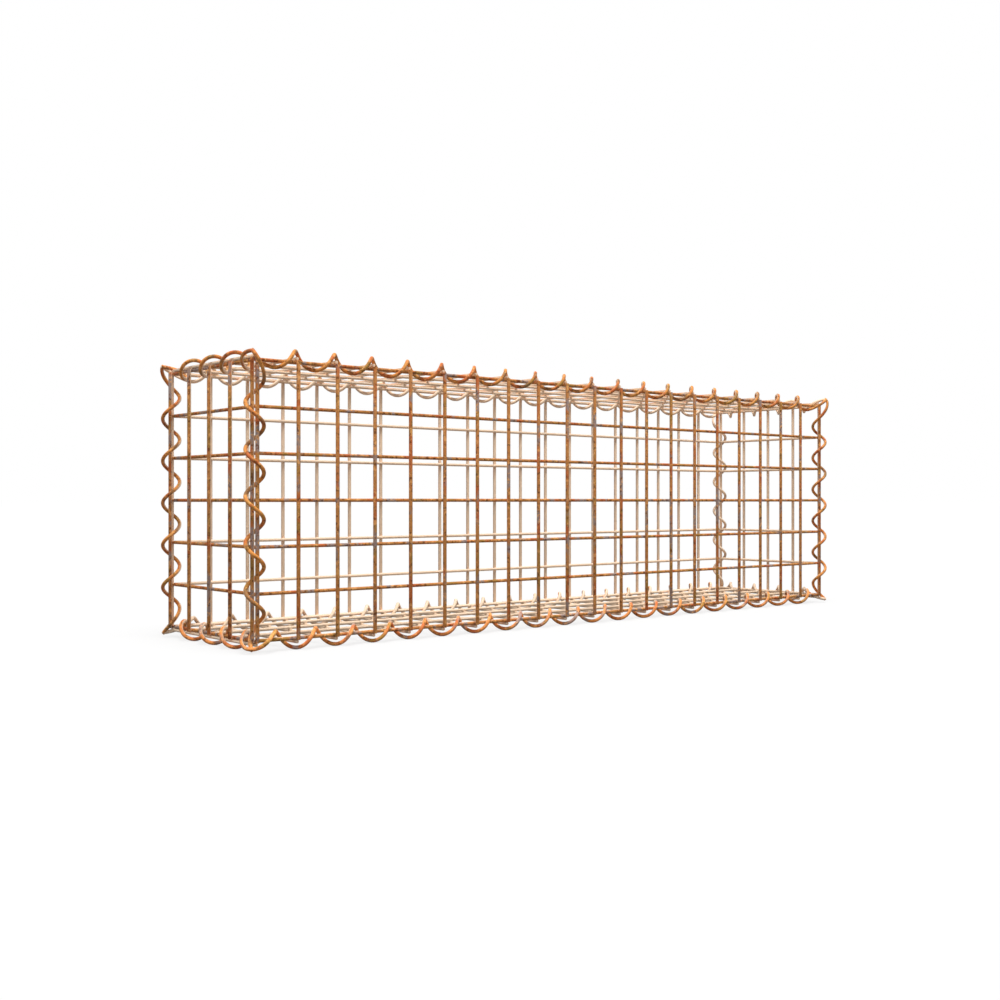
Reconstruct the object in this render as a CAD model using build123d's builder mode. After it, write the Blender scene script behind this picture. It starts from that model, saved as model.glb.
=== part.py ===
"""Empty gabion basket of welded mesh, 1000 x 200 x 300 mm, laced with spiral binders.

Six flat mesh panels make the box: front, back, two ends, a lid and a floor.
Twelve spiral binders, one wound along each edge of the box, hold the panels together.
X runs along the basket, Y from front to back and Z up.
The origin is on the ground, in the middle, under the lowest turns of the bottom binders.
"""

import os
from math import cos, pi, sin

from build123d import *

# Mesh: round wire drawn as square bars, welded where the two layers cross
cell = 50.0
cells_long = 20
cells_deep = 4
cells_high = 6
wire = 3.9

# Box over the centre lines of the outermost wires of each inner layer
length = cells_long * cell
depth = cells_deep * cell
height = cells_high * cell

# Panels drop in beside each other with this much play
play = 0.1

# Binders: one turn for each cell of the edge, bent as short straight runs on a helix
turn_radius = 9.9
binder_wire = 3.5
runs_per_turn = 8
left_handed = -1
right_handed = 1
tip_runs = 2

# How far each binder's axis stands out from the centre line of the wires it winds round
binder_lift = 1.2
binder_shift = 0.1
corner_shift_x = 1.5
corner_shift_y = 0.5

# The basket stands on its bottom binders, whose square section can turn a corner down
lowest_reach = turn_radius * cos(pi / runs_per_turn) + binder_wire / 2**0.5
floor_level = lowest_reach + binder_lift
lid_level = floor_level + height

side_wires_y = depth / 2
end_wires_x = length / 2

long_rows = [cell * step - length / 2 for step in range(cells_long + 1)]
deep_rows = [cell * step - depth / 2 for step in range(cells_deep + 1)]
levels = [floor_level + cell * step for step in range(cells_high + 1)]


def wire_sections(spots):
    """The sections of one layer of parallel wires, centred on spots."""
    with Locations(*spots):
        Rectangle(wire, wire)


def finish(part, name):
    part.label = name
    export_step(part, f"parts/{name}.step")


def make_side_panel(name, outwards):
    """Front or back panel: level long wires, with uprights welded outside them."""
    uprights_y = outwards * (side_wires_y + wire)
    with BuildPart() as side_panel:
        with BuildSketch(Plane.XY.offset(floor_level - wire / 2)):
            wire_sections([(x, uprights_y) for x in long_rows])
        extrude(amount=height + wire)
        with BuildSketch(Plane.YZ.offset(-length / 2 - wire / 2)):
            wire_sections([(outwards * side_wires_y, z) for z in levels])
        extrude(amount=length + wire)
    finish(side_panel.part, name)


def make_end_panel(name, outwards):
    """End panel: fits between the front and back long wires, with uprights outside."""
    reach = side_wires_y - wire / 2 - play
    uprights_x = outwards * (end_wires_x + wire)
    upright_rows = [-reach] + deep_rows[1:-1] + [reach]
    with BuildPart() as end_panel:
        with BuildSketch(Plane.XY.offset(floor_level - wire / 2)):
            wire_sections([(uprights_x, y) for y in upright_rows])
        extrude(amount=height + wire)
        with BuildSketch(Plane.XZ.offset(-reach)):
            wire_sections([(outwards * end_wires_x, z) for z in levels])
        extrude(amount=2 * reach)
    finish(end_panel.part, name)


def make_flat_panel(name, level, outwards):
    """Lid or floor: long wires drop between the walls, cross wires lie on the walls."""
    reach = end_wires_x - wire / 2 - play
    edge_row = side_wires_y - wire - play
    cross_reach = side_wires_y + wire / 2
    wire_rows = [-edge_row] + deep_rows[1:-1] + [edge_row]
    cross_rows = [-reach] + long_rows[1:-1] + [reach]
    with BuildPart() as flat_panel:
        with BuildSketch(Plane.YZ.offset(-reach)):
            wire_sections([(y, level) for y in wire_rows])
        extrude(amount=2 * reach)
        with BuildSketch(Plane.XZ.offset(-cross_reach)):
            wire_sections([(x, level + outwards * wire) for x in cross_rows])
        extrude(amount=2 * cross_reach)
    finish(flat_panel.part, name)


def make_binder(name, start, along, crest, turns, hand, cut_first=0, cut_last=0):
    """A spiral wound along one edge from start, with a crest at every cell's corner.

    It is cut short by whole runs where it would meet a neighbour's tip.
    """
    axis = Plane(origin=start, x_dir=crest, z_dir=along)
    step = cell / runs_per_turn
    stations = []
    for run in range(cut_first, turns * runs_per_turn - cut_last):
        angle = hand * 2 * pi * (run + 0.5) / runs_per_turn
        spot = Vector(turn_radius * cos(angle), turn_radius * sin(angle), step * (run + 0.5))
        stations.append(axis.from_local_coords(spot))
    with BuildPart() as binder:
        with BuildLine() as route:
            Polyline(*stations)
        with BuildSketch(Plane(origin=stations[0], z_dir=stations[1] - stations[0])):
            Rectangle(binder_wire, binder_wire)
        sweep(path=route.line, transition=Transition.RIGHT)
    finish(binder.part, name)


def make_long_binders(side, outwards):
    """Top and bottom binders of the front or back edge pair."""
    y = outwards * (side_wires_y - binder_shift)
    start = -length / 2
    top = (start, y, lid_level + binder_lift)
    bottom = (start, y, floor_level - binder_lift)
    make_binder(f"{side}_top_binder", top, (1, 0, 0), (0, 0, 1), cells_long, left_handed)
    make_binder(f"{side}_bottom_binder", bottom, (1, 0, 0), (0, 0, -1), cells_long, left_handed)


def make_end_binders(end, outwards, start_y):
    """Top and bottom binders of the left or right edge pair."""
    x = outwards * end_wires_x
    top = (x, start_y, lid_level + binder_lift)
    bottom = (x, start_y, floor_level - binder_lift)
    cut_first = tip_runs if outwards > 0 else 0
    cut_last = tip_runs - cut_first
    make_binder(f"{end}_top_binder", top, (0, 1, 0), (0, 0, 1), cells_deep, left_handed)
    make_binder(
        f"{end}_bottom_binder", bottom, (0, 1, 0), (0, 0, -1), cells_deep, right_handed,
        cut_first, cut_last,
    )


def make_corner_binder(name, side, end):
    """Upright binder at one corner: neighbours wind opposite ways."""
    start = (end * (end_wires_x + corner_shift_x), side * (side_wires_y + corner_shift_y), floor_level)
    make_binder(name, start, (0, 0, 1), (end, 0, 0), cells_high, -side * end)


os.makedirs("parts", exist_ok=True)

front, back, left, right = -1, 1, -1, 1

make_side_panel("front_panel", front)
make_side_panel("back_panel", back)
make_end_panel("left_end_panel", left)
make_end_panel("right_end_panel", right)
make_flat_panel("lid_panel", lid_level, 1)
make_flat_panel("floor_panel", floor_level, -1)

make_long_binders("front", front)
make_long_binders("back", back)
make_end_binders("left", left, -side_wires_y - wire)
make_end_binders("right", right, -side_wires_y)
make_corner_binder("front_left_binder", front, left)
make_corner_binder("front_right_binder", front, right)
make_corner_binder("back_left_binder", back, left)
make_corner_binder("back_right_binder", back, right)
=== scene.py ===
from math import pi, radians

import bpy
from mathutils import Matrix, Vector


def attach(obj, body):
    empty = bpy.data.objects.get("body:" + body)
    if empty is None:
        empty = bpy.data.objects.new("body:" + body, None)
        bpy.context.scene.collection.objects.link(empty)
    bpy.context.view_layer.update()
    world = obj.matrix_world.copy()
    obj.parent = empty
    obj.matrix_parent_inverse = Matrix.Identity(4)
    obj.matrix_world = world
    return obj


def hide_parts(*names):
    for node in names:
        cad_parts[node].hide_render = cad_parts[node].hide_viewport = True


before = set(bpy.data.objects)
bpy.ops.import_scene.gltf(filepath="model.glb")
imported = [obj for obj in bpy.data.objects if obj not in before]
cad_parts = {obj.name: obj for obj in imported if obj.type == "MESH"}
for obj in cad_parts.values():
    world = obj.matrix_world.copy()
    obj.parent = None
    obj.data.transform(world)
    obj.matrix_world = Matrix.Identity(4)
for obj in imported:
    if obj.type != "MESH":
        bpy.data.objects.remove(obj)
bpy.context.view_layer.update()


# Camera, floor and light. The basket stands on a plain white floor and is seen level from
# its front left corner, under a soft light from above and a little in front.

eye = (-1.1278, -1.2521, 0.1625)
turned_right = -0.699
lens_mm = 43.554
sensor_mm = 36.0
picture_right = 0.00085
picture_down = 0.00052
view_reach = 200.0
floor_reach = 60.0
floor_grey = 0.15
floor_glow = 0.78
sky_white = 1.0
sky_strength = 0.53
lamp_strength = 3.3
lamp_softness = radians(34)
lamp_from = (-0.10, -0.26, 1.0)

camera_data = bpy.data.cameras.new("camera")
camera_data.sensor_width = sensor_mm
camera_data.lens = lens_mm
camera_data.clip_end = view_reach
camera_data.shift_x = -picture_right
camera_data.shift_y = picture_down
camera = bpy.data.objects.new("camera", camera_data)
camera.location = eye
camera.rotation_euler = (pi / 2, 0, turned_right)
bpy.context.scene.collection.objects.link(camera)
bpy.context.scene.camera = camera
bpy.context.scene.view_settings.view_transform = "Standard"


def feed(tree, value, socket):
    """Links the socket to another node's output, or gives it a plain value."""
    if isinstance(value, bpy.types.NodeSocket):
        tree.links.new(value, socket)
    else:
        socket.default_value = value


def combine(tree, operation, first, second):
    """One number or mask worked out from two, each a plain value or a node's output."""
    result = tree.nodes.new("ShaderNodeMath")
    result.operation = operation
    feed(tree, first, result.inputs[0])
    feed(tree, second, result.inputs[1])
    return result.outputs[0]


def seen_directly(tree):
    """One where the camera looks, straight or by way of a shiny or clear surface, else none."""
    rays = tree.nodes.new("ShaderNodeLightPath").outputs
    shiny_or_clear = combine(tree, "MAXIMUM", rays["Is Glossy Ray"], rays["Is Transmission Ray"])
    return combine(tree, "MAXIMUM", rays["Is Camera Ray"], shiny_or_clear)


sky = bpy.data.worlds.new("white_sky")
bpy.context.scene.world = sky
sky.use_nodes = True
sky_tree = sky.node_tree
sky_background = sky_tree.nodes["Background"]
sky_background.inputs["Color"].default_value = (1, 1, 1, 1)
sky_mix = sky_tree.nodes.new("ShaderNodeMix")
sky_mix.inputs["A"].default_value = sky_strength
sky_mix.inputs["B"].default_value = sky_white
sky_tree.links.new(seen_directly(sky_tree), sky_mix.inputs["Factor"])
sky_tree.links.new(sky_mix.outputs["Result"], sky_background.inputs["Strength"])

floor_paint = bpy.data.materials.new("floor_paint")
floor_paint.use_nodes = True
floor_tree = floor_paint.node_tree
floor_tree.nodes.clear()
floor_diffuse = floor_tree.nodes.new("ShaderNodeBsdfDiffuse")
floor_diffuse.inputs["Color"].default_value = (floor_grey, floor_grey, floor_grey, 1)
floor_white = floor_tree.nodes.new("ShaderNodeEmission")
floor_shine = combine(floor_tree, "MULTIPLY", seen_directly(floor_tree), floor_glow)
floor_tree.links.new(floor_shine, floor_white.inputs["Strength"])
floor_sum = floor_tree.nodes.new("ShaderNodeAddShader")
floor_tree.links.new(floor_diffuse.outputs[0], floor_sum.inputs[0])
floor_tree.links.new(floor_white.outputs[0], floor_sum.inputs[1])
floor_output = floor_tree.nodes.new("ShaderNodeOutputMaterial")
floor_tree.links.new(floor_sum.outputs[0], floor_output.inputs["Surface"])

bpy.ops.object.select_all(action="DESELECT")
bpy.ops.mesh.primitive_plane_add(size=2 * floor_reach)
floor = bpy.context.object
floor.name = "floor"
floor.data.materials.append(floor_paint)

lamp_data = bpy.data.lights.new("soft_lamp", "SUN")
lamp_data.energy = lamp_strength
lamp_data.angle = lamp_softness
lamp = bpy.data.objects.new("soft_lamp", lamp_data)
lamp.rotation_euler = Vector(lamp_from).to_track_quat("Z", "Y").to_euler()
bpy.context.scene.collection.objects.link(lamp)


# Front and back panels: round steel wire, straightened and cut to length, 3.9 mm for the long
# wires and 4.5 mm for the uprights. The uprights are resistance-welded outside the long wires
# at every crossing, and the mesh was left to rust in the open.

cell = 0.050
cells_long = 20
cells_deep = 4
cells_high = 6
length = cells_long * cell
depth = cells_deep * cell
height = cells_high * cell
wire_radius = 0.00195
wire = 2 * wire_radius
upright_radius = 0.00225
wire_sides = 16
cut_rounding = 0.0004
sharp_rim = radians(60)
smooth_below = radians(50)
bead_radius = 0.0026
bead_height = 0.0013
bead_unevenness = 0.0003

# The bottom binders hold the floor's wires this far above the ground.
floor_mesh_level = 0.0128213
lid_mesh_level = floor_mesh_level + height
low_end = floor_mesh_level - wire_radius
left_end = -length / 2 - wire_radius


def display(red, green, blue):
    """A colour given as it looks on the screen, from 0 to 255, as the light it stands for."""
    light = []
    for part in (red, green, blue):
        share = part / 255
        light.append(share / 12.92 if share <= 0.04045 else ((share + 0.055) / 1.055) ** 2.4)
    return (*light, 1.0)


blotch_roughness = 0.6


def blotches(tree, where, size, detail, low, high):
    """A mask of soft-edged blotches, about size metres across."""
    noise = tree.nodes.new("ShaderNodeTexNoise")
    noise.inputs["Scale"].default_value = 1 / size
    noise.inputs["Detail"].default_value = detail
    noise.inputs["Roughness"].default_value = blotch_roughness
    tree.links.new(where, noise.inputs["Vector"])
    edge = tree.nodes.new("ShaderNodeMapRange")
    edge.interpolation_type = "SMOOTHSTEP"
    edge.inputs["From Min"].default_value = low
    edge.inputs["From Max"].default_value = high
    tree.links.new(noise.outputs["Fac"], edge.inputs["Value"])
    return edge.outputs["Result"]


def shifted(tree, where, by, stretch=(1, 1, 1)):
    """The same place moved by some metres, so that no two patterns fall alike."""
    mapping = tree.nodes.new("ShaderNodeMapping")
    mapping.inputs["Location"].default_value = by
    mapping.inputs["Scale"].default_value = stretch
    tree.links.new(where, mapping.inputs["Vector"])
    return mapping.outputs["Vector"]


def over(tree, below, above, amount):
    """The colour above laid over the one below, by amount."""
    # The mixer has sockets for numbers, directions and colours, and these are for colours.
    colour_below, colour_above, mixed = 6, 7, 2
    mixer = tree.nodes.new("ShaderNodeMix")
    mixer.data_type = "RGBA"
    feed(tree, below, mixer.inputs[colour_below])
    feed(tree, above, mixer.inputs[colour_above])
    feed(tree, amount, mixer.inputs[0])
    return mixer.outputs[mixed]


# Rust in patches: orange-brown over all, with red-brown, ochre and mauve-grey scale in
# patches some centimetres long, and dark and bright specks of a few millimetres.
red_rust = display(198, 108, 60)
ochre_rust = display(178, 131, 66)
fresh_rust = display(246, 180, 110)
fresh_cover = 0.75
old_rust = display(108, 62, 28)
old_cover = 0.8
long_up = (1, 1, 0.55)

rust = bpy.data.node_groups.new("wire_rust", "ShaderNodeTree")
for name, way, kind in (
    ("Orange", "INPUT", "NodeSocketColor"),
    ("Scale Color", "INPUT", "NodeSocketColor"),
    ("Scale Patches", "INPUT", "NodeSocketFloat"),
    ("Specks", "INPUT", "NodeSocketFloat"),
    ("Lightness", "INPUT", "NodeSocketFloat"),
    ("Color", "OUTPUT", "NodeSocketColor"),
    ("Smooth Scale", "OUTPUT", "NodeSocketFloat"),
    ("Height", "OUTPUT", "NodeSocketFloat"),
):
    rust.interface.new_socket(name=name, in_out=way, socket_type=kind)
rust_in = rust.nodes.new("NodeGroupInput").outputs
rust_out = rust.nodes.new("NodeGroupOutput").inputs
rust_place = rust.nodes.new("ShaderNodeTexCoord").outputs["Object"]
red_place = shifted(rust, rust_place, (3, 1, 7), long_up)
red_patch = blotches(rust, red_place, size=0.022, detail=3, low=0.48, high=0.62)
ochre_place = shifted(rust, rust_place, (9, 4, 2), long_up)
ochre_patch = blotches(rust, ochre_place, size=0.020, detail=3, low=0.53, high=0.63)
scale_place = shifted(rust, rust_place, (5, 8, 6), long_up)
scale_patch = blotches(rust, scale_place, size=0.024, detail=4, low=0.53, high=0.61)
scale_patch = combine(rust, "MULTIPLY", scale_patch, rust_in["Scale Patches"])
old_place = shifted(rust, rust_place, (2, 6, 1))
old_speck = blotches(rust, old_place, size=0.0048, detail=4, low=0.53, high=0.64)
old_speck = combine(rust, "MULTIPLY", old_speck, rust_in["Specks"])
fresh_place = shifted(rust, rust_place, (7, 2, 9))
fresh_speck = blotches(rust, fresh_place, size=0.0056, detail=4, low=0.53, high=0.64)
fresh_speck = combine(rust, "MULTIPLY", fresh_speck, rust_in["Specks"])
colour = over(rust, rust_in["Orange"], red_rust, red_patch)
colour = over(rust, colour, ochre_rust, ochre_patch)
colour = over(rust, colour, rust_in["Scale Color"], scale_patch)
colour = over(rust, colour, fresh_rust, combine(rust, "MULTIPLY", fresh_speck, fresh_cover))
colour = over(rust, colour, old_rust, combine(rust, "MULTIPLY", old_speck, old_cover))
lightness = rust.nodes.new("ShaderNodeHueSaturation")
rust.links.new(rust_in["Lightness"], lightness.inputs["Value"])
rust.links.new(colour, lightness.inputs["Color"])
rust.links.new(lightness.outputs["Color"], rust_out["Color"])
rust.links.new(scale_patch, rust_out["Smooth Scale"])
rust.links.new(combine(rust, "SUBTRACT", fresh_speck, old_speck), rust_out["Height"])

# Painted light: the sides that look into the basket get a pale wash that the steel does not have,
# further round on the back, the right end, the lid and the floor, and over the floor's shaded
# undersides.
painted_pale_light = display(255, 228, 199)
pale_light_strength = 0.96
pale_light_starts = 0.05
pale_light_fade = 0.45

pale_light_group = bpy.data.node_groups.new("painted_pale_light_inside", "ShaderNodeTree")
for name, way, kind in (
    ("Color", "INPUT", "NodeSocketColor"),
    ("Inward", "INPUT", "NodeSocketFloat"),
    ("Color", "OUTPUT", "NodeSocketColor"),
):
    pale_light_group.interface.new_socket(name=name, in_out=way, socket_type=kind)
pale_light_in = pale_light_group.nodes.new("NodeGroupInput").outputs
pale_light_out = pale_light_group.nodes.new("NodeGroupOutput").inputs
pale_light_cover = combine(pale_light_group, "MULTIPLY", pale_light_in["Inward"], pale_light_strength)
pale_lit = over(pale_light_group, pale_light_in["Color"], painted_pale_light, pale_light_cover)
pale_light_group.links.new(pale_lit, pale_light_out["Color"])

# Scale lies smoother than rust, and the specks are fine pits and grains.
scale_smoothing = 0.2
pit_strength = 0.6
pit_depth = 0.00025


def rusted_steel(name, orange, scale, scale_amount, specks, lightness, rough, gloss):
    """Rusted steel wire, with its patches, specks and pits, and painted light: a pale wash on its
    inner side.
    """
    material = bpy.data.materials.new(name)
    material.use_nodes = True
    tree = material.node_tree
    steel = tree.nodes["Principled BSDF"]
    steel.inputs["Specular IOR Level"].default_value = gloss
    rusting = tree.nodes.new("ShaderNodeGroup")
    rusting.node_tree = rust
    rusting.inputs["Orange"].default_value = orange
    rusting.inputs["Scale Color"].default_value = scale
    rusting.inputs["Scale Patches"].default_value = scale_amount
    rusting.inputs["Specks"].default_value = specks
    rusting.inputs["Lightness"].default_value = lightness
    # Painted light: a pale wash over the sides that face into the basket.
    pale_lighting = tree.nodes.new("ShaderNodeGroup")
    pale_lighting.node_tree = pale_light_group
    inward = tree.nodes.new("ShaderNodeAttribute")
    inward.attribute_name = "inward"
    tree.links.new(rusting.outputs["Color"], pale_lighting.inputs["Color"])
    tree.links.new(inward.outputs["Fac"], pale_lighting.inputs["Inward"])
    tree.links.new(pale_lighting.outputs["Color"], steel.inputs["Base Color"])
    roughness = tree.nodes.new("ShaderNodeMapRange")
    roughness.inputs["To Min"].default_value = rough
    roughness.inputs["To Max"].default_value = rough - scale_smoothing
    tree.links.new(rusting.outputs["Smooth Scale"], roughness.inputs["Value"])
    tree.links.new(roughness.outputs["Result"], steel.inputs["Roughness"])
    bump = tree.nodes.new("ShaderNodeBump")
    bump.inputs["Strength"].default_value = pit_strength
    bump.inputs["Distance"].default_value = pit_depth
    tree.links.new(rusting.outputs["Height"], bump.inputs["Height"])
    tree.links.new(bump.outputs["Normal"], steel.inputs["Normal"])
    return material


mesh_orange = display(201, 135, 75)
mauve_scale = display(160, 138, 130)
mesh_rust = rusted_steel(
    "mesh_rust", mesh_orange, mauve_scale,
    scale_amount=1.0, specks=1.0, lightness=1.0, rough=0.8, gloss=0.2,
)


def pick(*pieces):
    """Selects these pieces and no others, with the first one active."""
    bpy.ops.object.select_all(action="DESELECT")
    for piece in pieces:
        piece.select_set(True)
    bpy.context.view_layer.objects.active = pieces[0]


def cut_wire(first_end, along, wire_length, radius=wire_radius):
    """One straight round wire with softly broken ends, from first_end."""
    bpy.ops.object.select_all(action="DESELECT")
    middle = Vector(first_end) + Vector(along) * wire_length / 2
    bpy.ops.mesh.primitive_cylinder_add(
        vertices=wire_sides, radius=radius, depth=wire_length, location=middle,
        rotation=Vector(along).to_track_quat("Z", "Y").to_euler(),
    )
    piece = bpy.context.object
    rim = piece.modifiers.new("broken_rim", "BEVEL")
    rim.width = cut_rounding
    rim.segments = 2
    rim.limit_method = "ANGLE"
    rim.angle_limit = sharp_rim
    bpy.ops.object.modifier_apply(modifier=rim.name)
    bpy.ops.object.transform_apply(location=True, rotation=True, scale=True)
    return piece


def repeat(piece, count, step):
    """Lays the piece out count times, step apart, in one mesh."""
    pick(piece)
    row = piece.modifiers.new("row", "ARRAY")
    row.count = count
    row.use_relative_offset = False
    row.use_constant_offset = True
    row.constant_offset_displace = step
    bpy.ops.object.modifier_apply(modifier=row.name)


def weld_bead(spot, across):
    """The nugget of metal that a weld squeezes out between two wires, flat where they press."""
    bpy.ops.object.select_all(action="DESELECT")
    bpy.ops.mesh.primitive_ico_sphere_add(subdivisions=2, radius=1.0, location=spot)
    bead = bpy.context.object
    bead.scale = [bead_height if part else bead_radius for part in across]
    bpy.ops.object.transform_apply(location=True, rotation=True, scale=True)
    bpy.ops.object.mode_set(mode="EDIT")
    bpy.ops.mesh.select_all(action="SELECT")
    bpy.ops.transform.vertex_random(offset=bead_unevenness, uniform=0.5, seed=7)
    bpy.ops.object.mode_set(mode="OBJECT")
    return bead


def join_as(name, pieces):
    """The pieces joined into one, smooth but for its cut ends."""
    pick(*pieces)
    bpy.ops.object.join()
    joined = bpy.context.object
    joined.name = name
    joined.data.name = name
    bpy.ops.object.shade_smooth_by_angle(angle=smooth_below)
    return joined


def paint_pale_light_inside(piece, inward, bias):
    """Marks where the piece looks inward and takes the painted pale light wash: a bias takes it
    further round.
    """
    way = Vector(inward)
    mark = piece.data.attributes.new("inward", "FLOAT", "POINT")
    for vertex in piece.data.vertices:
        facing = vertex.normal.dot(way) + bias
        share = (facing - pale_light_starts) / pale_light_fade
        mark.data[vertex.index].value = min(1.0, max(0.0, share))


def mount_piece(piece, node, material):
    """Gives the finished piece its material and its place in the basket."""
    piece.data.materials.clear()
    piece.data.materials.append(material)
    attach(piece, "root")
    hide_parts(node)


for side, outwards, pale_light_bias in (("front", -1, 0.0), ("back", 1, 0.35)):
    wires_y = outwards * depth / 2
    uprights_y = outwards * (depth / 2 + wire)
    foot = (-length / 2, uprights_y, low_end)
    uprights = cut_wire(foot, (0, 0, 1), height + wire, upright_radius)
    repeat(uprights, cells_long + 1, (cell, 0, 0))
    long_wires = cut_wire((left_end, wires_y, floor_mesh_level), (1, 0, 0), length + wire)
    repeat(long_wires, cells_high + 1, (0, 0, cell))
    between = outwards * (depth / 2 + wire_radius)
    beads = weld_bead((-length / 2, between, floor_mesh_level), (0, 1, 0))
    repeat(beads, cells_long + 1, (cell, 0, 0))
    repeat(beads, cells_high + 1, (0, 0, cell))
    panel = join_as(f"{side}_mesh", [uprights, long_wires, beads])
    # Painted light: a pale wash on the sides that face into the basket.
    paint_pale_light_inside(panel, (0, -outwards, 0), pale_light_bias)
    mount_piece(panel, f"{side}_panel", mesh_rust)


# End panels: the same welded mesh, cut narrow enough to stand between the front and back
# panels' long wires. Their level wires lie inside and their five uprights outside, and
# their rust is made a shade darker.

end_play = 0.0001
end_reach = depth / 2 - wire_radius - end_play

end_rust = rusted_steel(
    "end_mesh_rust", mesh_orange, mauve_scale,
    scale_amount=1.0, specks=1.0, lightness=0.9, rough=0.8, gloss=0.2,
)

for end, outwards, pale_light_bias in (("left", -1, 0.0), ("right", 1, 0.35)):
    wires_x = outwards * length / 2
    uprights_x = outwards * (length / 2 + wire)
    between = outwards * (length / 2 + wire_radius)
    foot = (uprights_x, -depth / 2, low_end)
    uprights = cut_wire(foot, (0, 0, 1), height + wire, upright_radius)
    repeat(uprights, cells_deep + 1, (0, cell, 0))
    level_wires = cut_wire((wires_x, -end_reach, floor_mesh_level), (0, 1, 0), 2 * end_reach)
    repeat(level_wires, cells_high + 1, (0, 0, cell))
    beads = weld_bead((between, -depth / 2, floor_mesh_level), (1, 0, 0))
    repeat(beads, cells_deep + 1, (0, cell, 0))
    repeat(beads, cells_high + 1, (0, 0, cell))
    panel = join_as(f"{end}_end_mesh", [uprights, level_wires, beads])
    # Painted light: a pale wash on the sides that face into the basket.
    paint_pale_light_inside(panel, (-outwards, 0, 0), pale_light_bias)
    mount_piece(panel, f"{end}_end_panel", end_rust)


# Lid and floor: the same welded mesh laid flat. Its long wires drop between the walls, and its
# cross wires rest on the walls' top wires, or run under the bottom ones. The painted pale light
# wash reaches round the lid's sides too, and round the floor almost all over, its shaded
# undersides included.

flat_reach = length / 2 - wire_radius - end_play
edge_row = depth / 2 - wire - end_play
cross_reach = depth / 2 + wire_radius

for name, level, outwards, pale_light_bias in (
    ("lid", lid_mesh_level, 1, 0.85),
    ("floor", floor_mesh_level, -1, 1.4),
):
    crosses_z = level + outwards * wire
    between = level + outwards * wire_radius
    inner_long = cut_wire((-flat_reach, cell - depth / 2, level), (1, 0, 0), 2 * flat_reach)
    repeat(inner_long, cells_deep - 1, (0, cell, 0))
    edge_long = cut_wire((-flat_reach, -edge_row, level), (1, 0, 0), 2 * flat_reach)
    repeat(edge_long, 2, (0, 2 * edge_row, 0))
    cross_wires = cut_wire((-length / 2, -cross_reach, crosses_z), (0, 1, 0), 2 * cross_reach)
    repeat(cross_wires, cells_long + 1, (cell, 0, 0))
    inner_beads = weld_bead((-length / 2, cell - depth / 2, between), (0, 0, 1))
    repeat(inner_beads, cells_long + 1, (cell, 0, 0))
    repeat(inner_beads, cells_deep - 1, (0, cell, 0))
    edge_beads = weld_bead((-length / 2, -edge_row, between), (0, 0, 1))
    repeat(edge_beads, cells_long + 1, (cell, 0, 0))
    repeat(edge_beads, 2, (0, 2 * edge_row, 0))
    panel = join_as(f"{name}_mesh", [inner_long, edge_long, cross_wires, inner_beads, edge_beads])
    # Painted light: a pale wash on the sides that face into the basket, on the floor nearly all
    # round.
    paint_pale_light_inside(panel, (0, 0, -outwards), pale_light_bias)
    mount_piece(panel, f"{name}_panel", mesh_rust)


# Long binders: spirals of smooth 4.4 mm wire, wound through the mesh of two panels along each
# long edge, one turn for each cell, with a crest at every upright. The last half turns are
# pulled out by hand to a point outside each corner.

turn_radius = 0.0097
binder_radius = 0.0022
binder_sides = 14
turn_steps = 36
bottom_lift = 0.0009
left_handed = -1
right_handed = 1
tip_rounding = 0.0007
tip_doming = 0.7 * tip_rounding
tip_hold = 1.6 * binder_radius
tip_bend = 0.030
seam_gap = 1e-6

# How far each corner's point stands out from the edge wires along X, Y and Z. The signs tell
# left from right, front from back and bottom from top.
tips_out = {
    (-1, -1, 1): (0.0087, 0.0101, 0.0076),
    (1, -1, 1): (0.0087, 0.0087, 0.0107),
    (-1, 1, 1): (0.0093, 0.0093, 0.0086),
    (1, 1, 1): (0.0092, 0.0092, 0.0089),
    (-1, -1, -1): (0.0088, 0.0077, 0.0073),
    (1, -1, -1): (0.0082, 0.0082, 0.0070),
    (-1, 1, -1): (0.0082, 0.0084, 0.0072),
    (1, 1, -1): (0.0082, 0.0082, 0.0076),
}

binder_orange = display(218, 144, 74)
dark_scale = display(118, 94, 68)
binder_rust = rusted_steel(
    "binder_rust", binder_orange, dark_scale,
    scale_amount=0.7, specks=0.8, lightness=1.12, rough=0.6, gloss=0.15,
)
# Painted light: the bottom binders' rust is lightened further, for light bounced up from the
# floor.
low_orange = display(216, 138, 76)
low_binder_rust_and_painted_bounce = rusted_steel(
    "low_binder_rust_and_painted_bounce", low_orange, mauve_scale,
    scale_amount=0.9, specks=0.8, lightness=1.34, rough=0.6, gloss=0.15,
)


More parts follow.
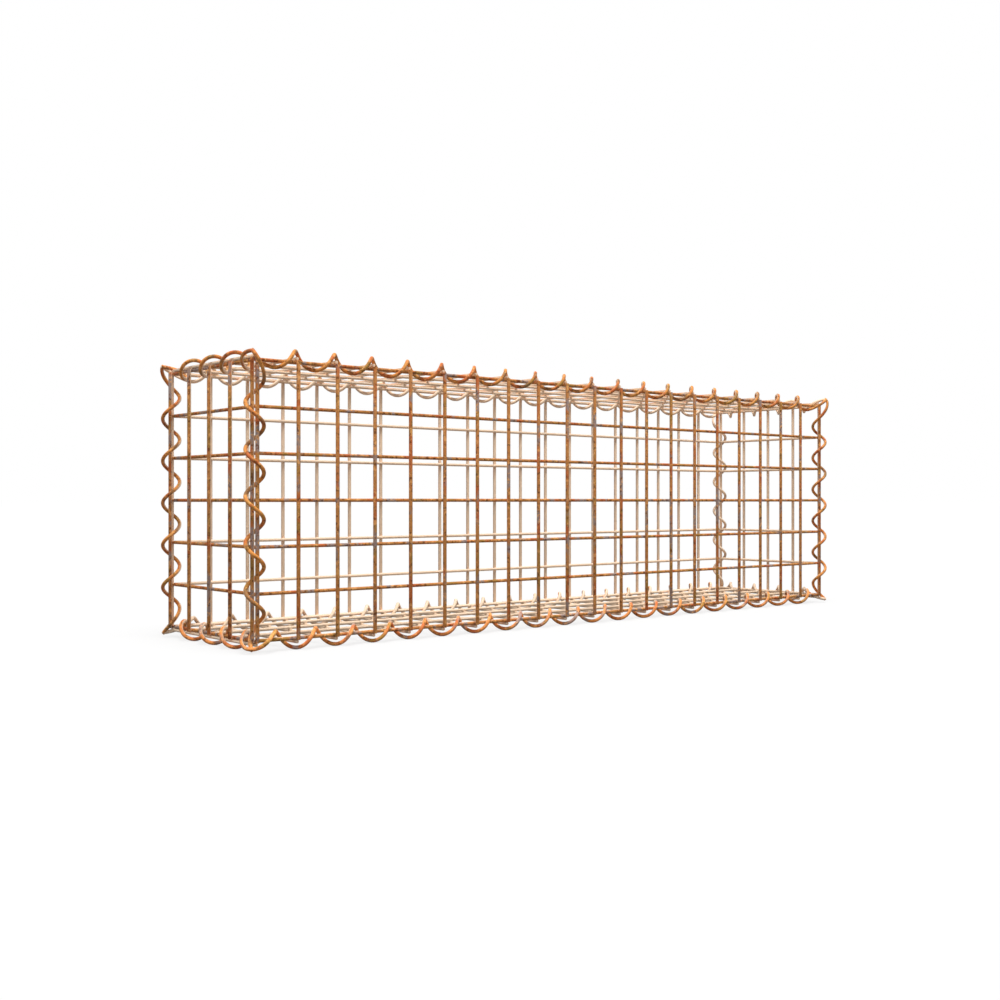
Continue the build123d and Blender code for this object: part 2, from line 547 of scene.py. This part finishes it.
def wind_binder(name, turns, hand):
    """A spiral of round wire wound up the Z axis, with its first crest at +X."""
    bpy.ops.object.select_all(action="DESELECT")
    bpy.ops.mesh.primitive_circle_add(vertices=binder_sides, radius=binder_radius)
    binder = bpy.context.object
    binder.name = name
    binder.data.name = name
    # The section is taller than it is wide, so that the rising wire comes out round.
    climb = cell / (2 * pi * turn_radius)
    tallness = (1 + climb ** 2) ** 0.5
    bpy.ops.object.mode_set(mode="EDIT")
    bpy.ops.transform.rotate(
        value=pi / 2, orient_axis="X", center_override=(0, 0, 0), orient_type="GLOBAL"
    )
    bpy.ops.transform.resize(value=(1, 1, tallness), center_override=(0, 0, 0))
    bpy.ops.transform.translate(value=(turn_radius, 0, 0))
    bpy.ops.object.mode_set(mode="OBJECT")
    winding = binder.modifiers.new("winding", "SCREW")
    winding.axis = "Z"
    winding.angle = hand * 2 * pi
    winding.screw_offset = cell
    winding.iterations = turns
    winding.steps = turn_steps
    winding.render_steps = turn_steps
    winding.use_merge_vertices = False
    bpy.ops.object.modifier_apply(modifier=winding.name)
    bpy.ops.object.mode_set(mode="EDIT")
    bpy.ops.mesh.select_all(action="SELECT")
    bpy.ops.mesh.remove_doubles(threshold=seam_gap)
    bpy.ops.mesh.select_all(action="SELECT")
    bpy.ops.mesh.region_to_loop()
    bpy.ops.mesh.fill_holes(sides=0)
    bpy.ops.mesh.select_all(action="SELECT")
    bpy.ops.mesh.normals_make_consistent(inside=False)
    bpy.ops.mesh.select_mode(type="FACE")
    bpy.ops.mesh.select_all(action="DESELECT")
    bpy.ops.object.mode_set(mode="OBJECT")
    for face in binder.data.polygons:
        face.select = len(face.vertices) == binder_sides
    bpy.ops.object.mode_set(mode="EDIT")
    bpy.ops.mesh.inset(thickness=tip_rounding, depth=tip_doming, use_individual=True)
    bpy.ops.mesh.select_all(action="DESELECT")
    bpy.ops.mesh.select_mode(type="VERT")
    bpy.ops.object.mode_set(mode="OBJECT")
    return binder


def set_on_edge(binder, start, along, crest):
    """Turns and moves a wound spiral onto its edge of the basket."""
    along = Vector(along)
    crest = Vector(crest)
    turned = Matrix((crest, along.cross(crest), along)).transposed().to_4x4()
    binder.matrix_world = Matrix.Translation(Vector(start)) @ turned
    pick(binder)
    bpy.ops.object.transform_apply(location=True, rotation=True, scale=True)
    bpy.ops.object.shade_smooth_by_angle(angle=smooth_below)


def pull_tip(binder, tip, corner):
    """Bends the last half turn beside tip outwards, so that it ends at the corner's point."""
    bpy.ops.object.mode_set(mode="EDIT")
    bpy.ops.mesh.select_all(action="DESELECT")
    bpy.ops.object.mode_set(mode="OBJECT")
    for vertex in binder.data.vertices:
        vertex.select = (vertex.co - tip).length < tip_hold
    bpy.ops.object.mode_set(mode="EDIT")
    bpy.ops.transform.translate(
        value=corner - tip, use_proportional_edit=True, use_proportional_connected=True,
        proportional_edit_falloff="SMOOTH", proportional_size=tip_bend,
    )
    bpy.ops.object.mode_set(mode="OBJECT")


def corner_point(right, back, up):
    """Where three spirals meet outside a corner: each is 1, or -1 for left, front or down."""
    out_x, out_y, out_z = tips_out[right, back, up]
    level = lid_mesh_level + out_z if up > 0 else floor_mesh_level - out_z
    return Vector((right * (length / 2 + out_x), back * (depth / 2 + out_y), level))


bottom_axis = floor_mesh_level - bottom_lift

for side, outwards, shift_in, top_lift, pale_light_bias in (
    ("front", -1, 0.0023, 0.0028, 0.0),
    ("back", 1, 0.0006, 0.0022, 0.5),
):
    axis_y = outwards * (depth / 2 - shift_in)
    top_axis = lid_mesh_level + top_lift
    for edge, axis_z, up in (("top", top_axis, 1), ("bottom", bottom_axis, -1)):
        start = (-length / 2, axis_y, axis_z)
        spiral = wind_binder(f"{side}_{edge}_spiral", cells_long, left_handed)
        set_on_edge(spiral, start, (1, 0, 0), (0, 0, up))
        for right in (-1, 1):
            tip = Vector((right * length / 2, axis_y, axis_z + up * turn_radius))
            pull_tip(spiral, tip, corner_point(right, outwards, up))
        # Painted light: a pale wash on the sides that face into the basket.
        paint_pale_light_inside(spiral, (0, -outwards, 0), pale_light_bias)
        # Bottom binders take the rust lightened with painted light from below.
        steel = binder_rust if up > 0 else low_binder_rust_and_painted_bounce
        mount_piece(spiral, f"{side}_{edge}_binder", steel)


# End binders: spirals of the same wire, four turns long, wound through the mesh across the
# ends' top and bottom edges. The bottom ones wind the other way from the top ones.

end_shift_in = 0.0005
end_top_lift = 0.0020
end_top_axis = lid_mesh_level + end_top_lift

for end, outwards, first_y, pale_light_bias in (
    ("left", -1, -depth / 2 - wire, 0.0),
    ("right", 1, -depth / 2, 0.5),
):
    axis_x = outwards * (length / 2 - end_shift_in)
    for edge, axis_z, up, hand in (
        ("top", end_top_axis, 1, left_handed),
        ("bottom", bottom_axis, -1, right_handed),
    ):
        start = (axis_x, first_y, axis_z)
        spiral = wind_binder(f"{end}_{edge}_spiral", cells_deep, hand)
        set_on_edge(spiral, start, (0, 1, 0), (0, 0, up))
        for back, tip_y in ((-1, first_y), (1, first_y + depth)):
            tip = Vector((axis_x, tip_y, axis_z + up * turn_radius))
            pull_tip(spiral, tip, corner_point(outwards, back, up))
        # Painted light: a pale wash on the sides that face into the basket.
        paint_pale_light_inside(spiral, (-outwards, 0, 0), pale_light_bias)
        # Bottom binders take the rust lightened with painted light from below.
        steel = binder_rust if up > 0 else low_binder_rust_and_painted_bounce
        mount_piece(spiral, f"{end}_{edge}_binder", steel)


# Corner binders: spirals of the same wire, six turns high, wound through the mesh of two walls
# at each corner. Neighbours wind opposite ways, and their last half turns are pulled out to
# the tips of the level binders, where the three wires meet.

for corner, right, back, shift_out_x, shift_out_y, inward, pale_light_bias in (
    ("front_left", -1, -1, 0.0014, 0.0006, (0, 1, 0), 0.0),
    ("front_right", 1, -1, 0.0024, 0.0014, (0, 1, 0), 0.0),
    ("back_left", -1, 1, 0.0022, 0.0012, (1, 0, 0), 0.0),
    ("back_right", 1, 1, 0.0015, 0.0005, (0, -1, 0), 0.5),
):
    axis_x = right * (length / 2 + shift_out_x)
    axis_y = back * (depth / 2 + shift_out_y)
    hand = left_handed if right == back else right_handed
    spiral = wind_binder(f"{corner}_spiral", cells_high, hand)
    set_on_edge(spiral, (axis_x, axis_y, floor_mesh_level), (0, 0, 1), (right, 0, 0))
    for level, up in ((floor_mesh_level, -1), (lid_mesh_level, 1)):
        tip = Vector((axis_x + right * turn_radius, axis_y, level))
        pull_tip(spiral, tip, corner_point(right, back, up))
    # Painted light: a pale wash on the sides that face into the basket.
    paint_pale_light_inside(spiral, inward, pale_light_bias)
    mount_piece(spiral, f"{corner}_binder", binder_rust)
